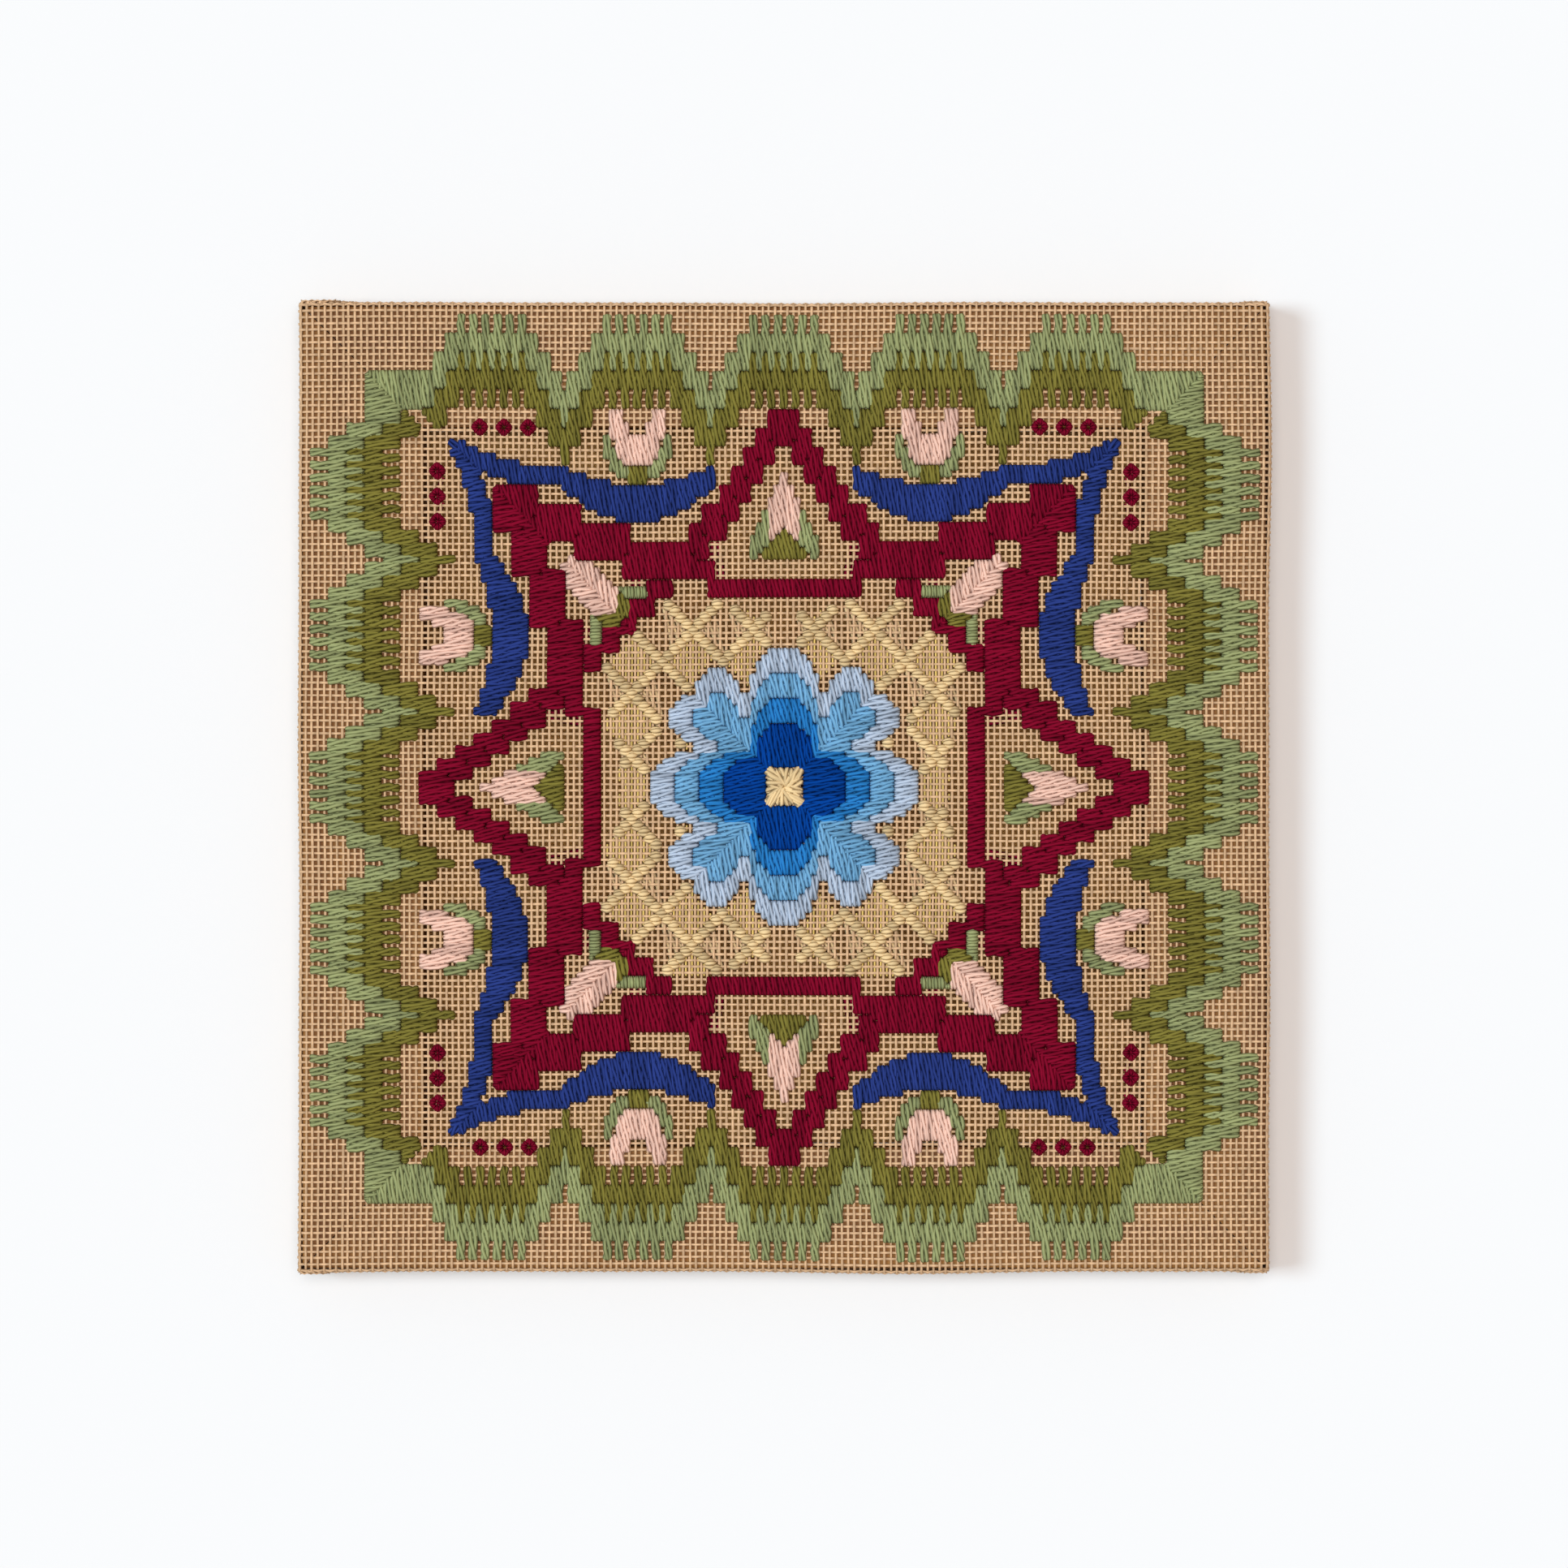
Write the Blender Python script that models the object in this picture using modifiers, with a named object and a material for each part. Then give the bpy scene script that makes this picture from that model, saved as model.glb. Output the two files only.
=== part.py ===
"""Embroidered canvas panel: a needlepoint canvas stretched over a mitred wooden frame.

It lies on its back, with its face up (+Z), its top towards +Y and its back flaps on z = 0.
"""

import math

import bmesh
import bpy
from mathutils import Vector

# Driving dimensions, in metres
WIDTH = 0.3048  # over the canvas, left to right
HEIGHT = 0.3043  # over the canvas, bottom to top
CLOTH = 0.0012  # canvas thickness
GAP = 0.0003  # between pieces
BAR_WIDTH = 0.038
BAR_DEPTH = 0.018
BAR_EASE = 0.0008  # rounding of a bar's long edges
BAR_EASE_STEPS = 2
BAR_BLUNT = 0.0010  # how much of a bar's sharp tip is cut off
FLAP = 0.026  # cloth turned in on the back, from the panel's outer edge
EDGE_ROUND = 0.0022  # radius where the cloth turns over an edge
CORNER_ROUND = 0.0026  # radius of the outline's corners, seen from the front
FLAP_CORNER = 0.0003  # the same at the flaps' free edge
ARC_STEPS = 3

DEPTH = 2 * CLOTH + 2 * GAP + BAR_DEPTH
BAR_INSET = CLOTH + GAP

# Spare cloth folded flat on the top and bottom sides at each corner. It is a triangle, widest
# at the back edge: side and corner give how far it reaches along the side and how thick it is.
FOLDS = {
    ("top", "left"): (0.0250, 0.0012),
    ("top", "right"): (0.0180, 0.0007),
    ("bottom", "left"): (0.0210, 0.0006),
    ("bottom", "right"): (0.0200, 0.0007),
}
FOLD_THICKEST = max(thickness for reach, thickness in FOLDS.values())
FOLD_START = 0.0040  # its slope next to the corner
FOLD_END = 0.0020  # its slope at the free edge
FOLD_AT_FRONT = 0.35  # its reach at the front edge, as a share of that at the back

# Soft swells of the outline: side, place of the middle along it, half length, height
SWELLS = (
    ("right", 0.110, 0.055, 0.0005),
    ("bottom", 0.046, 0.050, 0.0005),
)

# Points along a side: steps from each corner's arc, then even ones between
CORNER_STEPS = (0.0, 0.003, 0.007, 0.011, 0.015, 0.019, 0.023, 0.027)
MIDDLE_STEPS = 12

PINE = (0.46, 0.30, 0.17)
CANVAS = (0.75, 0.58, 0.38)
PANEL = "embroidered_canvas_panel"


def clear_scene():
    for item in list(bpy.data.objects):
        bpy.data.objects.remove(item, do_unlink=True)


def make_collection(name):
    group = bpy.data.collections.new(name)
    bpy.context.scene.collection.children.link(group)
    return group


def make_material(name, colour, roughness):
    material = bpy.data.materials.new(name)
    material.use_nodes = True
    shader = material.node_tree.nodes["Principled BSDF"]
    shader.inputs["Base Color"].default_value = (*colour, 1.0)
    shader.inputs["Roughness"].default_value = roughness
    shader.inputs["Metallic"].default_value = 0.0
    return material


def make_object(name, bm, material, group):
    mesh = bpy.data.meshes.new(name)
    bm.to_mesh(mesh)
    bm.free()
    mesh.materials.append(material)
    item = bpy.data.objects.new(name, mesh)
    group.objects.link(item)
    return item


# The frame


def blunt_tips(bm, half):
    """Cuts off both sharp tips of a bar square, so that they clear the cloth's rounded corners."""
    for end in (-1, 1):
        cut = bmesh.ops.bisect_plane(
            bm,
            geom=bm.verts[:] + bm.edges[:] + bm.faces[:],
            plane_co=(end * half, 0, 0),
            plane_no=(end, 0, 0),
            clear_outer=True,
        )
        rim = [e for e in cut["geom_cut"] if isinstance(e, bmesh.types.BMEdge)]
        bmesh.ops.edgeloop_fill(bm, edges=rim)
    bmesh.ops.recalc_face_normals(bm, faces=bm.faces)


def make_bar(name, length, middle, turn, material, group):
    """One bar, its outer side towards +Y before it is turned, its ends cut at 45 degrees."""
    bm = bmesh.new()
    bmesh.ops.create_cube(bm, size=1.0)
    mitre_gap = GAP / math.sqrt(2)
    for vert in bm.verts:
        end = math.copysign(1.0, vert.co.x)
        cut = 0.0 if vert.co.y > 0 else BAR_WIDTH
        half = length / 2 - mitre_gap - cut
        vert.co = Vector((end * half, vert.co.y * BAR_WIDTH, vert.co.z * BAR_DEPTH))
    long_edges = [e for e in bm.edges if e.calc_length() > length / 2]
    bmesh.ops.bevel(
        bm, geom=long_edges, offset=BAR_EASE, segments=BAR_EASE_STEPS, profile=0.5, affect="EDGES"
    )
    blunt_tips(bm, length / 2 - mitre_gap - BAR_BLUNT)
    bar = make_object(name, bm, material, group)
    bar.location = (*middle, CLOTH + GAP + BAR_DEPTH / 2)
    bar.rotation_euler = (0.0, 0.0, turn)


def make_frame(group):
    pine = make_material("pine", PINE, 0.6)
    wide = WIDTH - 2 * BAR_INSET
    tall = HEIGHT - 2 * BAR_INSET
    side = (wide - BAR_WIDTH) / 2
    end = (tall - BAR_WIDTH) / 2
    quarter = math.pi / 2
    make_bar("bar_top", wide, (0.0, end), 0.0, pine, group)
    make_bar("bar_left", tall, (-side, 0.0), quarter, pine, group)
    make_bar("bar_bottom", wide, (0.0, -end), 2 * quarter, pine, group)
    make_bar("bar_right", tall, (side, 0.0), 3 * quarter, pine, group)


# The canvas

# Name, outward direction, direction of travel round the panel, half size out, half size along
SIDES = (
    ("right", Vector((1, 0)), Vector((0, 1)), WIDTH / 2, HEIGHT / 2),
    ("top", Vector((0, 1)), Vector((-1, 0)), HEIGHT / 2, WIDTH / 2),
    ("left", Vector((-1, 0)), Vector((0, -1)), WIDTH / 2, HEIGHT / 2),
    ("bottom", Vector((0, -1)), Vector((1, 0)), HEIGHT / 2, WIDTH / 2),
)


def smooth(x):
    x = min(max(x, 0.0), 1.0)
    return x * x * (3 - 2 * x)


def swell(side, place):
    """How far the outline stands out at a place along a side, before the folds are added."""
    heights = (
        height * smooth(1 - abs(place - middle) / half)
        for name, middle, half, height in SWELLS
        if name == side
    )
    return sum(heights)


def fold(side, place, half_along, z):
    """Thickness of the folded corner cloth at a point of the top or bottom side."""
    corner = "left" if place < 0 else "right"
    if (side, corner) not in FOLDS:
        return 0.0
    reach, thickness = FOLDS[side, corner]
    from_corner = half_along - abs(place)
    down = 1 - z / DEPTH
    free_edge = reach * (FOLD_AT_FRONT + (1 - FOLD_AT_FRONT) * down)
    rise = smooth((from_corner - CORNER_ROUND) / FOLD_START)
    fall = smooth((free_edge + FOLD_END - from_corner) / FOLD_END)
    return thickness * rise * fall


def side_stations(half_along):
    """Where each ring has its points along one side, from one corner's arc to the next."""
    reach = half_along - CORNER_ROUND
    near = [step - reach for step in CORNER_STEPS]
    first = near[-1]
    middle = [first * (1 - 2 * i / MIDDLE_STEPS) for i in range(1, MIDDLE_STEPS)]
    return near + middle + [-station for station in reversed(near)]


def profile():
    """The cloth's section, from the face round to the flaps' free edge, as (inset, height)."""
    turn = [i * math.pi / 2 / ARC_STEPS for i in range(ARC_STEPS + 1)]
    upper = [
        (EDGE_ROUND * (1 - math.sin(a)), DEPTH - EDGE_ROUND * (1 - math.cos(a))) for a in turn
    ]
    side = [(0.0, DEPTH * 2 / 3), (0.0, DEPTH / 3)]
    lower = [(EDGE_ROUND * (1 - math.cos(a)), EDGE_ROUND * (1 - math.sin(a))) for a in turn]
    return upper + side + lower + [(FLAP, 0.0)]


def ring(inset, z):
    """The points of one ring round the panel, each with the cloth's thickness there."""
    points = []
    radius = max(CORNER_ROUND - inset, FLAP_CORNER)
    on_side = max(1 - inset / EDGE_ROUND, 0.0)
    for name, out, along, half_out, half_along in SIDES:
        shrink = (half_along - inset - radius) / (half_along - CORNER_ROUND)
        for station in side_stations(half_along):
            place = station * (along.x + along.y)
            folded = fold(name, place, half_along, z) * on_side
            stands_out = swell(name, place) if inset < FLAP else 0.0
            spot = out * (half_out - inset + folded + stands_out) + along * station * shrink
            points.append((spot.to_3d() + Vector((0, 0, z)), CLOTH + folded))
        centre = out * (half_out - inset - radius) + along * (half_along - inset - radius)
        for step in range(1, ARC_STEPS):
            angle = step * math.pi / 2 / ARC_STEPS
            spot = centre + (out * math.cos(angle) + along * math.sin(angle)) * radius
            points.append((spot.to_3d() + Vector((0, 0, z)), CLOTH))
    return points


def make_canvas(group):
    """The cloth's outer skin as rings, made solid inwards to its thickness at each point."""
    bm = bmesh.new()
    layers = bm.verts.layers.deform.verify()
    thickest = CLOTH + FOLD_THICKEST
    rings = []
    for inset, z in profile():
        verts = []
        for spot, thickness in ring(inset, z):
            vert = bm.verts.new(spot)
            vert[layers][0] = thickness / thickest
            verts.append(vert)
        rings.append(verts)
    bm.faces.new(rings[0])
    for upper, lower in zip(rings, rings[1:]):
        for i in range(len(upper)):
            j = (i + 1) % len(upper)
            bm.faces.new((upper[i], lower[i], lower[j], upper[j]))
    linen = make_material("canvas", CANVAS, 0.85)
    canvas = make_object("canvas", bm, linen, group)
    canvas.vertex_groups.new(name="thickness")
    solid = canvas.modifiers.new("cloth", "SOLIDIFY")
    solid.thickness = thickest
    solid.offset = -1.0
    solid.vertex_group = "thickness"
    canvas.data.shade_smooth()


def main():
    clear_scene()
    group = make_collection(PANEL)
    make_frame(group)
    make_canvas(group)


main()
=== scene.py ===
"""Looks of the embroidered canvas panel: woven threads, wool stitches, wood, light and camera."""

import math

import bpy
import numpy as np
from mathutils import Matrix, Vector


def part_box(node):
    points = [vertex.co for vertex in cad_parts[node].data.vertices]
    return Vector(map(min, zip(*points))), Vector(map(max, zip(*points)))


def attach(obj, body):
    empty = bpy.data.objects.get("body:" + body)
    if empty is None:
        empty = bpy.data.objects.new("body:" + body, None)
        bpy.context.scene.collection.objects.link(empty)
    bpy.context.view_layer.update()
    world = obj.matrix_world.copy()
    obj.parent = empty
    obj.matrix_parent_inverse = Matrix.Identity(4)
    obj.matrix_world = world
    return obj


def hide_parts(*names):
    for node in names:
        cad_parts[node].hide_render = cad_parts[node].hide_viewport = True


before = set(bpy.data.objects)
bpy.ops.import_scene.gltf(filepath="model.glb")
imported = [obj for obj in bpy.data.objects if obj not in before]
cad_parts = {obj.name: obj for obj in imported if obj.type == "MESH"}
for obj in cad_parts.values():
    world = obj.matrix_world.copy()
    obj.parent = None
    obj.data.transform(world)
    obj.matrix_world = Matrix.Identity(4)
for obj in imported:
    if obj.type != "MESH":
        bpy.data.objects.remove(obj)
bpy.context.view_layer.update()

# The cloth as the solids have it, in metres
FACE_WIDTH = 0.3048
FACE_HEIGHT = 0.3043
CLOTH = 0.0012
EDGE_ROUND = 0.0022
FLAP = 0.026
DEPTH = float(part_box("canvas")[1][2])
MIDDLE = DEPTH - CLOTH / 2  # height of the face's mid-plane
OPENING = 0.1125  # half the room inside the frame
# Where the edge swells: its side, the middle and half length of the place, and how far it goes out
SWELLS = (("right", 0.110, 0.055, 0.0005), ("bottom", 0.046, 0.050, 0.0005))
SWELL_ZONE = 0.06  # share of the face, next to the edge, that moves with a swell

# The weave
WARPS = 160  # upright threads over the face
WEFTS = 154  # level ones
PITCH = np.array([FACE_WIDTH / WARPS, FACE_HEIGHT / WEFTS])
THREAD_WIDE = 0.00036  # half a thread's width
THREAD_THICK = 0.00022  # half its thickness
WARP_WAVE = 0.00012  # how far it goes up and down
WEFT_WAVE = 0.00034
WANDER = 0.00016  # how far threads stray from straight
# Two slow waves of straying each way: size, radians per metre of x and of y, and start
STRAY_X = ((1.0, 21, 38, 0.6), (0.6, -12, 75, 2.1))
STRAY_Y = ((1.0, 34, -17, 1.3), (0.6, 69, 25, 0.4))
THREAD_WIDTHS = (0.95, 1.08)  # narrowest and widest thread, as shares of the usual width
UNEVEN = 0.05  # how much a thread's width varies along it
SLUB = 5  # crossings over which it varies
UNEVEN_PITCH = 0.00006  # how far a whole thread lies from its even place
SUNK = 0.00040  # how far threads are pressed down under stitches
THREAD_SHADES = 0.3  # how much the threads differ in shade
WAVE_PAINTED_LIGHT = 0.5  # painted highlight where they rise and painted shade where they dip: how much lighter and darker they are painted

# The yarn: three plies make a bundle a little wider than one mesh
PLIES = 3
PLY_RADIUS = 0.00065
BUNDLE_RADIUS = 0.00087
PLY_FLAT = 0.85  # a ply's thickness, as a share of its width
FLATNESS = 0.40  # a bundle's thickness, as a share of its width
YARN_TURNS = -60.0  # turns of the plies round each other, per metre, leaning as in an S
TURN_SPREAD = 0.4  # how much they differ between stitches, as a share
STATION_STEP = 0.003  # about how far apart a stitch's cross-sections are
YARN_LIFT = 0.00092  # height of a stitch's middle over the cloth's mid-plane
YARN_SHOULDER = 0.00066  # the same just after it leaves a hole
YARN_DIP = -0.00012  # and in the hole
HOLE_GAP = 0.00006  # from a hole's middle to the yarn's end
SHOULDER_AT = 0.0008  # from a hole's middle to the yarn's shoulder
SHOULDER_SHARE = 0.3  # and no further than this share of the stitch
END_FULL = 0.77  # width at the yarn's end, as a share of that in the middle
SHORT_STITCH = 0.0045  # under this length a stitch lies as one oval, hardly twisted
SHORT_TURNS = -12.0
SHORT_FULL = (0.62, 0.95, 1.10, 0.95, 0.62)  # its width from end to end
SIZE_SPREAD = 0.07  # how much stitches differ in width, as a share
SWAY = 0.00014  # how far a stitch bows sideways
LIFT_SPREAD = 0.00006  # how much stitches differ in height
PLUMP_CREAM = 1.15  # the trellis is of thicker yarn
PLUMP_LEVEL = 1.05  # level stitches spread, as rows are further apart than lanes

# The single ply of the darning, half its width and thickness, and where and how far its ends dip
DARNING_WIDE = 0.00036
DARNING_THICK = 0.00020
DARNING_END = 0.06
DARNING_DIP = -0.0004

# The yarn's runs behind the cloth: half sizes, heights, and where they end and bend
BACK_WIDE = 0.00075
BACK_THICK = 0.00038
BACK_LIFT = -0.00105
BACK_DIP = -0.0003
BACK_END = 0.03
BACK_BEND = 0.2
BACK_LONGEST = 9  # meshes; the yarn is cut rather than run further

# Strips side by side in the unit square that holds a piece's own surface, and the gap round each
CANVAS_COLUMNS = 1
WOOL_COLUMNS = 12
STRIP_MARGIN = 0.06

rng = np.random.default_rng(20)


def smooth(x):
    x = np.clip(x, 0.0, 1.0)
    return x * x * (3 - 2 * x)


# The cloth's shape


def section(s, half):
    """Where the cloth's middle lies, s along it from the face's centre line.

    Gives how far out it is, its height, and its outward normal as (out, up)."""
    radius = EDGE_ROUND - CLOTH / 2
    quarter = radius * math.pi / 2
    side = DEPTH - 2 * EDGE_ROUND
    flat = half - EDGE_ROUND
    far = np.abs(s)
    upper = np.clip((far - flat) / quarter, 0, 1) * math.pi / 2
    down = np.clip(far - flat - quarter, 0, side)
    lower = np.clip((far - flat - quarter - side) / quarter, 0, 1) * math.pi / 2
    back = np.clip(far - flat - 2 * quarter - side, 0, None)
    out = np.minimum(far, flat) + radius * (np.sin(upper) - 1 + np.cos(lower)) - back
    height = MIDDLE - radius * (1 - np.cos(upper)) - down - radius * np.sin(lower)
    angle = upper + lower
    sign = np.sign(s)
    return sign * out, height, sign * np.sin(angle), np.cos(angle)


def swell(side, place):
    total = np.zeros_like(place)
    for name, middle, half, height in SWELLS:
        if name == side:
            total = total + height * smooth(1 - np.abs(place - middle) / half)
    return total


def waves(parts, x, y):
    return sum(size * np.sin(per_x * x + per_y * y + start) for size, per_x, per_y, start in parts)


def near_edge(share):
    """0 over most of the face, rising to 1 at its edge, where share is 0.5."""
    return smooth((share - 0.5 + SWELL_ZONE) / SWELL_ZONE)


def strayed(x, y):
    """Moves points of the face a little, as hand-stretched cloth has them."""
    right = near_edge(x / FACE_WIDTH) * swell("right", y)
    low = near_edge(-y / FACE_HEIGHT) * swell("bottom", x)
    return x + WANDER * waves(STRAY_X, x, y) + right, y + WANDER * waves(STRAY_Y, x, y) - low


def cloth(main, other, main_is_x):
    """Points and normals of the cloth. main is the direction in which it may turn over an edge."""
    halves = (FACE_WIDTH / 2, FACE_HEIGHT / 2) if main_is_x else (FACE_HEIGHT / 2, FACE_WIDTH / 2)
    out, height, lean, up = section(main, halves[0])
    out_other, height_other, lean_other, _ = section(other, halves[1])
    height = height + (height_other - MIDDLE) * up
    lean_other = lean_other * np.clip(up, 0, 1)
    if main_is_x:
        x, y, nx, ny = out, out_other, lean, lean_other
    else:
        x, y, nx, ny = out_other, out, lean_other, lean
    x, y = strayed(x, y)
    points = np.stack(np.broadcast_arrays(x, y, height), axis=-1)
    normals = np.stack(np.broadcast_arrays(nx, ny, up), axis=-1)
    return points, normals / np.linalg.norm(normals, axis=-1, keepdims=True)


# Tubes


class Tubes:
    """Collects tubes of four sides, with closed ends, to make one mesh."""

    corners = ((-1, -1), (1, -1), (1, 1), (-1, 1))

    def __init__(self):
        self.rings = []
        self.lengths = []
        self.shades = []

    def add(self, spine, normals, wide, thick, shade):
        """One tube. wide and thick are its half sizes, across and along the normals.

        shade, about 0 to 1, is how light it is, one value or one for each place along it: a tone of its
        own, and on canvas threads also painted highlight and painted shade where they rise and dip."""
        tangents = np.gradient(spine, axis=0)
        across = np.cross(normals, tangents)
        across /= np.linalg.norm(across, axis=1, keepdims=True)
        wide = np.broadcast_to(np.asarray(wide, float), len(spine))[:, None]
        thick = np.broadcast_to(np.asarray(thick, float), len(spine))[:, None]
        sides = [spine + across * wide * a + normals * thick * b for a, b in self.corners]
        self.rings.append(np.stack(sides, axis=1))
        steps = np.linalg.norm(np.diff(spine, axis=0), axis=1)
        self.lengths.append(np.concatenate([[0], np.cumsum(steps)]))
        self.shades.append(np.broadcast_to(shade, len(spine)))

    def faces(self, first, stations):
        """Corner numbers of one tube's faces: its sides, then its two ends."""
        steps = first + 4 * np.arange(stations - 1)[:, None]
        ring = np.arange(4)
        after = (ring + 1) % 4
        sides = np.stack([steps + ring, steps + after, steps + 4 + after, steps + 4 + ring], axis=-1)
        ends = [first + ring[::-1], first + 4 * (stations - 1) + ring]
        return np.concatenate([sides.reshape(-1, 4), ends])

    def strip(self, along):
        """For each face corner, how far along the tube it is and how far round it."""
        ring = np.arange(4) / 4
        u0, v0 = np.meshgrid(along[:-1], ring, indexing="ij")
        u1 = np.repeat(along[1:, None], 4, axis=1)
        v1 = v0 + 0.25
        sides = np.stack([u0, v0, u0, v1, u1, v1, u1, v0], axis=-1).reshape(-1, 2)
        ends = [np.tile([along[i], 0.1], (4, 1)) for i in (0, -1)]
        return np.concatenate([sides, *ends])

    def bake_strip(self, number, columns):
        """The same strip, in a place of its own in a unit square."""
        rows = -(-len(self.rings) // columns)
        along = self.lengths[number] / self.lengths[number][-1]
        place = np.array([number % columns, number // columns])
        return (place + STRIP_MARGIN + (1 - 2 * STRIP_MARGIN) * self.strip(along)) / (columns, rows)

    def build(self, name, material, slot, columns):
        counts = [len(r) for r in self.rings]
        firsts = np.concatenate([[0], np.cumsum(counts)[:-1]]) * 4
        points = np.concatenate(self.rings).reshape(-1, 3)
        faces = np.concatenate([self.faces(f, n) for f, n in zip(firsts, counts)])
        starts = rng.uniform(0, 10, len(counts))
        fibres = np.concatenate([self.strip(s + a) for s, a in zip(starts, self.lengths)])
        bakes = np.concatenate([self.bake_strip(i, columns) for i in range(len(counts))])
        shades = np.repeat(np.concatenate(self.shades), 4)
        mesh = bpy.data.meshes.new(name)
        mesh.vertices.add(len(points))
        mesh.vertices.foreach_set("co", points.astype(np.float32).ravel())
        mesh.loops.add(faces.size)
        mesh.loops.foreach_set("vertex_index", faces.astype(np.int32).ravel())
        mesh.polygons.add(len(faces))
        mesh.polygons.foreach_set("loop_start", np.arange(len(faces), dtype=np.int32) * 4)
        mesh.update(calc_edges=True)
        mesh.validate()
        mesh.shade_smooth()
        for map_name, places in (("fibre", fibres), ("OFBake", bakes)):
            layer = mesh.uv_layers.new(name=map_name)
            layer.data.foreach_set("uv", places.astype(np.float32).ravel())
        shade = mesh.attributes.new("shade", "FLOAT", "POINT")
        shade.data.foreach_set("value", shades.astype(np.float32))
        mesh.materials.append(material)
        item = bpy.data.objects.new(name, mesh)
        bpy.context.scene.collection.objects.link(item)
        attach(item, "root")
        return item


class Plies(Tubes):
    """The same with the corners on the axes, for a rounder top."""

    corners = ((-1, 0), (0, -1), (1, 0), (0, 1))


# The chart: stitches go from hole to hole of the mesh, and hole (0, 0) is the centre. Only mitres
# and knots have ends between holes.
# Motifs are drawn for the part of the face right of the middle and above the diagonal, where all
# stitches are upright. Lanes are columns of holes, and heights are counted in rows of holes.

STITCH = 6  # the usual stitch, in meshes
THIN = 3
STEP = 3  # what most lines step by, from lane to lane
SHORTEST = 1
LONGEST = 8
MITRE = 0.4  # how far stitches that start on the diagonal reach past it, to close the mitre
CORNER_LANE = 60  # the sides' border has extra lanes here, as the face has more warps than wefts
EXTRA_LANES = 3


class Octant:
    def __init__(self):
        self.lanes = {}

    def lay(self, colour, lane, low, high):
        """A stitch. What lies there already stays, and the diagonal cuts off what is below it."""
        low = max(low, lane)
        for _, a, b in self.lanes.get(lane, []):
            if a < high and low < b:
                low, high = (b, high) if high - b > a - low else (low, a)
        if high - low >= SHORTEST:
            self.lanes.setdefault(lane, []).append((colour, low, high))

    def follow(self, colour, height, lanes, thick, step=STEP):
        """A line of stitches in steps along a curve, given as its height over each lane."""
        for lane in lanes:
            ends = height(abs(lane - 0.5)), height(lane + 0.5)
            low = step * round((min(ends) - thick / 2) / step)
            high = step * round((max(ends) + thick / 2) / step)
            if high - low > LONGEST:
                middle = (low + high) // 2
                self.lay(colour, lane, middle, high)
                high = middle
            self.lay(colour, lane, low, high)

    def stitches(self):
        return [
            (colour, lane, low - MITRE if low == lane else low, lane, high)
            for lane, parts in self.lanes.items()
            for colour, low, high in parts
        ]


class Chart:
    def __init__(self):
        self.stitches = []

    def copies(self, stitches):
        """Stitches of the octant in all eight, level where the diagonal mirrors them."""
        seen = set(self.stitches)
        for swap in (False, True):
            for sx in (1, -1):
                for sy in (1, -1):
                    for colour, x0, y0, x1, y1 in stitches:
                        a, b, c, d = (y0, x0, y1, x1) if swap else (x0, y0, x1, y1)
                        copy = (colour, sx * a, sy * b, sx * c, sy * d)
                        if copy not in seen:
                            seen.add(copy)
                            self.stitches.append(copy)

    def border_copies(self, octant):
        """The same for the border, whose left and right sides stand further out."""
        upright = []
        level = []
        for colour, lane, low, _, high in octant.stitches():
            across = [lane] if lane <= CORNER_LANE else [lane + EXTRA_LANES]
            if lane == CORNER_LANE:
                across = range(lane, lane + EXTRA_LANES + 1)
            upright += [(colour, x, low, x, high) for x in across]
            level.append((colour, low + EXTRA_LANES, lane, high + EXTRA_LANES, lane))
        for sx in (1, -1):
            for sy in (1, -1):
                for colour, x0, y0, x1, y1 in upright + level:
                    copy = (colour, sx * x0, sy * y0, sx * x1, sy * y1)
                    if copy not in self.stitches:
                        self.stitches.append(copy)

    def cover(self):
        """Which thread crossings lie under upright or level stitches, at least at two corners."""
        covered = np.zeros((WARPS, WEFTS, 2, 2), bool)
        for colour, x0, y0, x1, y1 in self.stitches:
            if colour == "gold":
                continue
            if x0 == x1:
                low, high = sorted((y0, y1))
                rows = slice(math.ceil(low) + WEFTS // 2, math.floor(high) + WEFTS // 2)
                column = int(x0) + WARPS // 2
                covered[column - 1, rows, 1, :] = True
                covered[column, rows, 0, :] = True
            elif y0 == y1:
                low, high = sorted((x0, x1))
                columns = slice(math.ceil(low) + WARPS // 2, math.floor(high) + WARPS // 2)
                row = int(y0) + WEFTS // 2
                covered[columns, row - 1, :, 1] = True
                covered[columns, row, :, 0] = True
        return covered[:, :, 0, 0] & covered[:, :, 1, 1] | covered[:, :, 0, 1] & covered[:, :, 1, 0]


BORDER_TOP = 75
BORDER_END = 66  # first lane past the corner's mitre
CORNER_FROM = 58  # past this lane the border runs level into the corner
CORNER_DIP = 9
BORDER_PERIOD = 24
# How far the border's edge is drawn in, for 0, 1, 2 ... lanes from the tip of each dip
BORDER_DIP = (12, 9, 9, 6, 6, 3, 3, 0, 3, 0, 3, 0, 3)


def flame_border():
    octant = Octant()
    for lane in range(BORDER_END):
        from_dip = abs(lane % BORDER_PERIOD - BORDER_PERIOD // 2)
        drawn_in = BORDER_DIP[from_dip] if lane <= CORNER_FROM else CORNER_DIP
        top = BORDER_TOP - drawn_in
        octant.lay("sage", lane, top - STITCH, top)
        octant.lay("olive", lane, top - 2 * STITCH, top - STITCH)
    return octant


AXIS_STAR = 59  # height of its tips, on the axes
AXIS_STAR_HOLLOW = 0.85  # under 1, its sides curve inwards
CORNER_STAR = 45  # lane and height of its tips, on the diagonals
CORNER_STAR_WAIST = 30
CORNER_STAR_HOLLOW = 1.25
STARS_CROSS = 17  # lane where they cross; both are thick outside it and thin inside


def axis_star(lane):
    hollow = AXIS_STAR_HOLLOW
    return max(AXIS_STAR**hollow - min(lane, AXIS_STAR) ** hollow, 0) ** (1 / hollow)


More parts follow.
